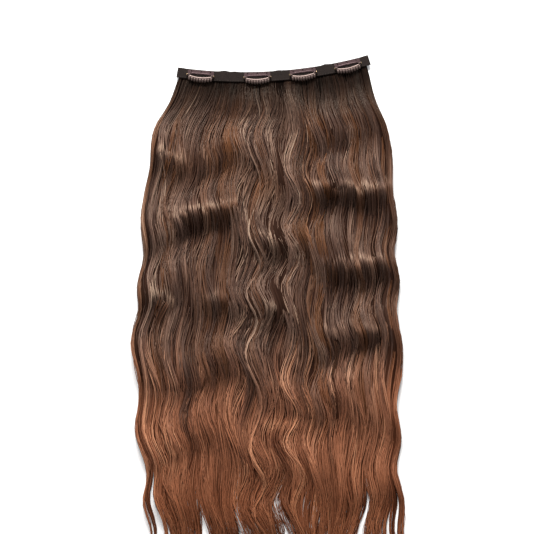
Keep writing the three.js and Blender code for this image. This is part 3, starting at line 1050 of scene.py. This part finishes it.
def clip_base_piece(name, at):
    points, faces = BASE_SHEET
    place = clip_place(at)
    shell = Shell()
    shell.points = [(x, y, z + SHEET / 2) for x, y, z in points]
    shell.faces = list(faces)
    inner = EAR_OUTER - LEG_WIDTH
    shell.loft(rib_rings(inner - RIB_INSET))
    for way in (-1, 1):
        outer = way * EAR_OUTER
        inside = way * (EAR_OUTER - SHEET)
        rings = []
        turns = np.linspace(math.pi, 0.0, 11)[1:-1]
        section = [(-EAR_HALF, EAR_FOOT), (-EAR_HALF, PIVOT_Z)]
        section += [(EAR_HALF * math.cos(t), PIVOT_Z + EAR_HALF * math.sin(t)) for t in turns]
        section += [(EAR_HALF, PIVOT_Z), (EAR_HALF, EAR_FOOT)]
        for x in sorted((outer, inside)):
            rings.append([(x, PIVOT_Y + y, z) for y, z in section][::-1])
        shell.loft(rings)
    mesh = mesh_from(f"{name}_frame", [place(p) for p in shell.points], shell.faces)
    piece = add_object(f"{name}_frame", mesh, CLIP_PAINT)
    finish_edges(piece, width=0.06)
    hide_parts(f"{name}_base")


def finish_edges(piece, width):
    """Rounds the hard corners a little and shades by angle."""
    bevel = piece.modifiers.new("rounded", "BEVEL")
    bevel.width = width * MM
    bevel.segments = 2
    bevel.limit_method = "ANGLE"
    bevel.angle_limit = math.radians(50)
    bevel.harden_normals = True


def leaf_share(x):
    return 1.0 - (x / KNUCKLE_OUTER) ** 2


def sheet_ring(x, low, high, z):
    """A ring round a sheet's section at one place along X, with soft edges."""
    top = z + SHEET
    return [
        (x, low + SHEET_EDGE, z),
        (x, high - SHEET_EDGE, z),
        (x, high, z + SHEET_EDGE),
        (x, high, top - SHEET_EDGE),
        (x, high - SHEET_EDGE, top),
        (x, low + SHEET_EDGE, top),
        (x, low, top - SHEET_EDGE),
        (x, low, z + SHEET_EDGE),
    ]


# A tooth from its root to its end. out is a share of its length, fall a share of its drop, which stops a gap
# above the clip's foot, and half its half width, in millimetres.
TOOTH_ROWS = named_rows(
    ("out", "fall", "half"),
    (-0.1, 0.0, 1.2),
    (0.15, 0.01, 1.18),
    (0.4, 0.07, 1.14),
    (0.62, 0.2, 1.1),
    (0.8, 0.4, 1.02),
    (0.93, 0.66, 0.88),
    (0.99, 0.86, 0.66),
    (1.0, 0.97, 0.36),
)
TOOTH_LENGTH = 3.4


def clip_comb_piece(name, body, at):
    place = clip_place(at)
    shell = Shell()
    rings = []
    for k in range(LEAF_STEPS + 1):
        x = -KNUCKLE_OUTER + 2.0 * KNUCKLE_OUTER * k / LEAF_STEPS
        top = PIVOT_Y - SPINE_DIP * leaf_share(x)
        z = PIVOT_Z - SHEET / 2 + BOW * leaf_share(x)
        rings.append(sheet_ring(x, top - SPINE_WIDTH, top, z))
    shell.loft(rings)
    for k in range(TEETH):
        x = (k - (TEETH - 1) / 2) * TOOTH_PITCH
        root = PIVOT_Y - SPINE_DIP * leaf_share(x) - SPINE_WIDTH
        root_z = PIVOT_Z - SHEET / 2 + BOW * leaf_share(x)
        drop = root_z - GAP
        rings = []
        for row in TOOTH_ROWS:
            y = root - row["out"] * TOOTH_LENGTH
            z = root_z - row["fall"] * drop
            half = row["half"]
            lean = 0.42 * min(1.0, 2.2 * row["fall"])
            rings.append([
                (x - half, y + lean, z + 0.1),
                (x - half, y, z + SHEET - 0.12),
                (x - half + 0.14, y, z + SHEET),
                (x + half - 0.14, y, z + SHEET),
                (x + half, y, z + SHEET - 0.12),
                (x + half, y + lean, z + 0.1),
                (x + half - 0.12, y + lean, z),
                (x - half + 0.12, y + lean, z),
            ])
        shell.loft(rings[::-1])
    sides = ROUND_SIDES
    turns = [2 * math.pi * j / sides for j in range(sides)]
    knuckle = [
        (KNUCKLE_RADIUS, KNUCKLE_INNER),
        (KNUCKLE_RADIUS, KNUCKLE_OUTER),
        (BORE_RADIUS, KNUCKLE_OUTER),
        (BORE_RADIUS, KNUCKLE_INNER),
    ]
    for way in (-1, 1):
        start = len(shell.points)
        for radius, x in knuckle:
            for turn in turns:
                y = PIVOT_Y + radius * math.cos(turn)
                shell.points.append((way * x, y, PIVOT_Z + radius * math.sin(turn)))
        for r in range(len(knuckle)):
            this_ring = start + r * sides
            next_ring = start + ((r + 1) % len(knuckle)) * sides
            for j in range(sides):
                a = this_ring + j
                b = this_ring + (j + 1) % sides
                c = next_ring + (j + 1) % sides
                d = next_ring + j
                shell.faces.append((a, b, c, d) if way > 0 else (d, c, b, a))
    mesh = mesh_from(f"{name}_leaf", [place(p) for p in shell.points], shell.faces)
    piece = add_object(f"{name}_leaf", mesh, COMB_PAINT, body=body)
    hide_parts(f"{name}_comb")


def clip_pin_piece(name, side, way, at):
    place = clip_place(at)
    head = EAR_OUTER + GAP
    rim = head + RIVET_RIM
    profile = [(KNUCKLE_INNER, 0.3), (KNUCKLE_INNER + 0.15, PIN_RADIUS), (head, PIN_RADIUS)]
    profile += [(head, 1.2), (rim, RIVET_RADIUS)]
    turns = np.linspace(0.2, 1.45, 7)
    profile += [(rim + RIVET_DOME * math.sin(t), RIVET_RADIUS * math.cos(t)) for t in turns]
    shell = Shell()
    shell.turned([(way * x, radius) for x, radius in profile], (PIVOT_Y, PIVOT_Z))
    mesh = mesh_from(f"{name}_rivet_{side}", [place(p) for p in shell.points], shell.faces)
    piece = add_object(f"{name}_rivet_{side}", mesh, PIN_METAL)
    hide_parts(f"{name}_pin_{side}")


BASE_SHEET = base_sheet()
for clip_name, clip_at in CLIP_PLACES.items():
    clip_base_piece(clip_name, clip_at)
    clip_comb_piece(clip_name, clip_name.replace("clip", "comb"), clip_at)
    clip_pin_piece(clip_name, "left", -1, clip_at)
    clip_pin_piece(clip_name, "right", 1, clip_at)


# Stitches
SEAM_AT = 4.9
STITCH_COUNT = 74
STITCH_HALF = 1.05


def thread_loop(path, radius, sides):
    """The points and faces of a thread along a path."""
    shell = Shell()
    rings = []
    count = len(path)
    for k, point in enumerate(path):
        before = Vector(path[max(0, k - 1)])
        after = Vector(path[min(count - 1, k + 1)])
        along = (after - before).normalized()
        side = along.cross(Vector((0.13, 0.21, 0.97))).normalized()
        up = side.cross(along)
        thick = radius * (0.45 if k in (0, count - 1) else 1.0)
        ring = []
        for j in range(sides):
            turn = 2.0 * math.pi * j / sides
            aside = Vector(point) + side * (thick * math.cos(turn))
            ring.append(tuple(aside + up * (thick * math.sin(turn))))
        rings.append(ring)
    shell.loft(rings[::-1])
    return shell


def stitches_piece():
    """The running stitches along the ribbon, and the loops that hold each clip through its holes."""
    whole = Shell()

    def take(shell):
        start = len(whole.points)
        whole.points.extend(shell.points)
        whole.faces.extend(tuple(start + k for k in face) for face in shell.faces)

    top = RIBBON_FOOT + RIBBON_THICKNESS
    for across in (-SEAM_AT, SEAM_AT):
        for k in range(STITCH_COUNT):
            along = (k + 0.5) * BAND_LENGTH / STITCH_COUNT - BAND_LENGTH / 2
            path = []
            for share in (-1.0, -0.6, 0.0, 0.6, 1.0):
                x, y = on_band(along + share * STITCH_HALF, across)
                path.append((float(x), float(y), top - 0.12 + 0.2 * (1.0 - share ** 2)))
            take(thread_loop(path, radius=0.15, sides=6))
    for at in CLIP_PLACES.values():
        place = clip_place(at)
        for x in HOLES:
            for lean in (-0.35, 0.35):
                path = []
                for share in np.linspace(0.0, 1.0, 9):
                    y = HOLE_Y + share * (BAR_TOP + 0.9 - HOLE_Y)
                    z = -0.35 + 1.25 * math.sin(math.pi * share) ** 0.7
                    path.append(place((x + lean * (1.0 - 0.4 * share), y, z)))
                take(thread_loop(path, radius=0.19, sides=8))
    mesh = mesh_from("stitches", whole.points, whole.faces)
    add_object("stitches", mesh, THREAD)


stitches_piece()

# Floor, light and camera, in metres
FLOOR_HALF = 4.0
FLOOR_BELOW = 0.0002
LIT_PLACE = Vector((0.0, -0.25, 0.0))
SKY_STRENGTH = 0.36

floor_material, _, _, floor_shader = new_material("pale_floor")
floor_shader.inputs["Base Color"].default_value = linear(250, 250, 250)
floor_shader.inputs["Roughness"].default_value = 0.9
floor_shader.inputs["Emission Color"].default_value = WHITE
floor_shader.inputs["Emission Strength"].default_value = 0.12
floor_mesh = bpy.data.meshes.new("floor")
floor_corners = [(x * FLOOR_HALF, y * FLOOR_HALF, 0.0) for x, y in ((-1, -1), (1, -1), (1, 1), (-1, 1))]
floor_mesh.from_pydata(floor_corners, [], [(0, 1, 2, 3)])
floor = add_object("floor", floor_mesh, floor_material, body=None)
floor.location.z = -FLOOR_BELOW


def area_light(name, place, size, power, colour):
    light = bpy.data.lights.new(name, "AREA")
    light.shape = "RECTANGLE"
    light.size, light.size_y = size
    light.energy = power
    light.color = colour
    lamp = bpy.data.objects.new(name, light)
    bpy.context.scene.collection.objects.link(lamp)
    lamp.location = place
    lamp.rotation_euler = (LIT_PLACE - Vector(place)).to_track_quat("-Z", "Y").to_euler()


area_light("key", (-0.1, 1.35, 1.1), size=(0.9, 0.3), power=68.0, colour=(1.0, 0.985, 0.96))
area_light("fill", (-0.9, -0.9, 1.9), size=(1.8, 1.8), power=8.0, colour=(0.97, 0.98, 1.0))

world = bpy.data.worlds.new("soft_light")
bpy.context.scene.world = world
world.use_nodes = True
background = world.node_tree.nodes["Background"]
background.inputs["Color"].default_value = WHITE
background.inputs["Strength"].default_value = SKY_STRENGTH
bpy.context.scene.view_settings.view_transform = "Standard"

LENS = 80.0
ELEVATION = math.radians(80.0)
DISTANCE = 1.321
target = Vector((-0.0086, -0.221, 0.0))
camera_data = bpy.data.cameras.new("camera")
camera_data.lens = LENS
camera_data.sensor_width = 36.0
camera_data.sensor_height = 36.0
camera_data.sensor_fit = "AUTO"
camera = bpy.data.objects.new("camera", camera_data)
bpy.context.scene.collection.objects.link(camera)
camera.location = target + DISTANCE * Vector((0.0, -math.cos(ELEVATION), math.sin(ELEVATION)))
camera.rotation_euler = (target - camera.location).to_track_quat("-Z", "Y").to_euler()
bpy.context.scene.camera = camera
